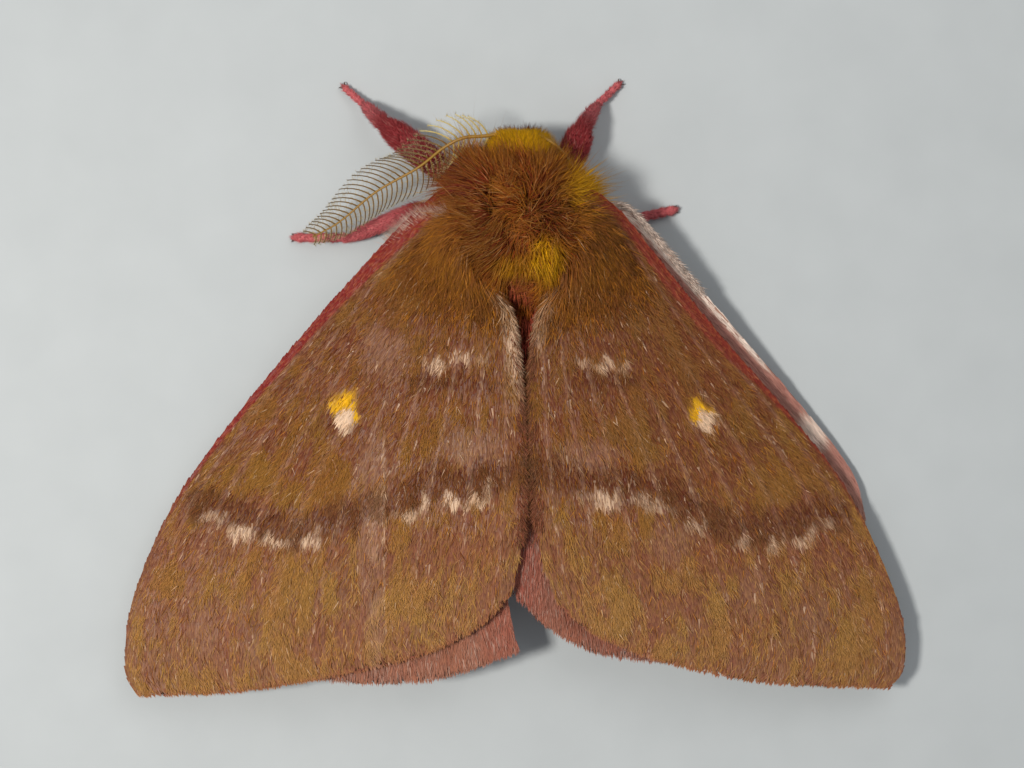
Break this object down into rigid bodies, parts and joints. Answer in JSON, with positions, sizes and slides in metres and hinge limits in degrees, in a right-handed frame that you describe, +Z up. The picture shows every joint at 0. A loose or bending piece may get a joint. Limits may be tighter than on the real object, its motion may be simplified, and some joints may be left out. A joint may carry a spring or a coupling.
{
  "type": "resting silk moth",
  "caption": "Life-size still model of a furry brown silk moth at rest, wings closed like a flat roof, feathery antennae, pink legs on the floor.",
  "frame": {"origin": "middle of the footprint of the whole moth, at the level its feet stand on", "axes": "+Y towards the head, +X towards the moth's right wing, +Z up from the floor through the back"},
  "size_m": [0.0486, 0.0388, 0.0097],
  "materials": {
    "coat": "dense soft brown hair",
    "crest": "ochre yellow hair",
    "forewing": "powdery scales, brown with ochre and a dark band",
    "hindwing": "powdery scales, dusty pink",
    "leg": "short pink to crimson hair",
    "antenna": "dull ochre horn",
    "eye": "glossy near black",
    "abdomen": "dark red down"
  },
  "bodies": {
    "root": {"thorax": "coat", "head": "crest", "abdomen": "abdomen", "eye_left": "eye", "eye_right": "eye", "antenna_left": "antenna", "antenna_right": "antenna", "forewing_left": "forewing", "forewing_right": "forewing", "hindwing_left": "hindwing", "hindwing_right": "hindwing", "foreleg_left_femur": "leg", "foreleg_left_tibia": "leg", "foreleg_left_tarsus": "leg", "foreleg_right_femur": "leg", "foreleg_right_tibia": "leg", "foreleg_right_tarsus": "leg", "midleg_left_femur": "leg", "midleg_left_tibia": "leg", "midleg_left_tarsus": "leg", "midleg_right_femur": "leg", "midleg_right_tibia": "leg", "midleg_right_tarsus": "leg", "hindleg_left_femur": "leg", "hindleg_left_tibia": "leg", "hindleg_left_tarsus": "leg", "hindleg_right_femur": "leg", "hindleg_right_tibia": "leg", "hindleg_right_tarsus": "leg"}
  },
  "joints": []
}
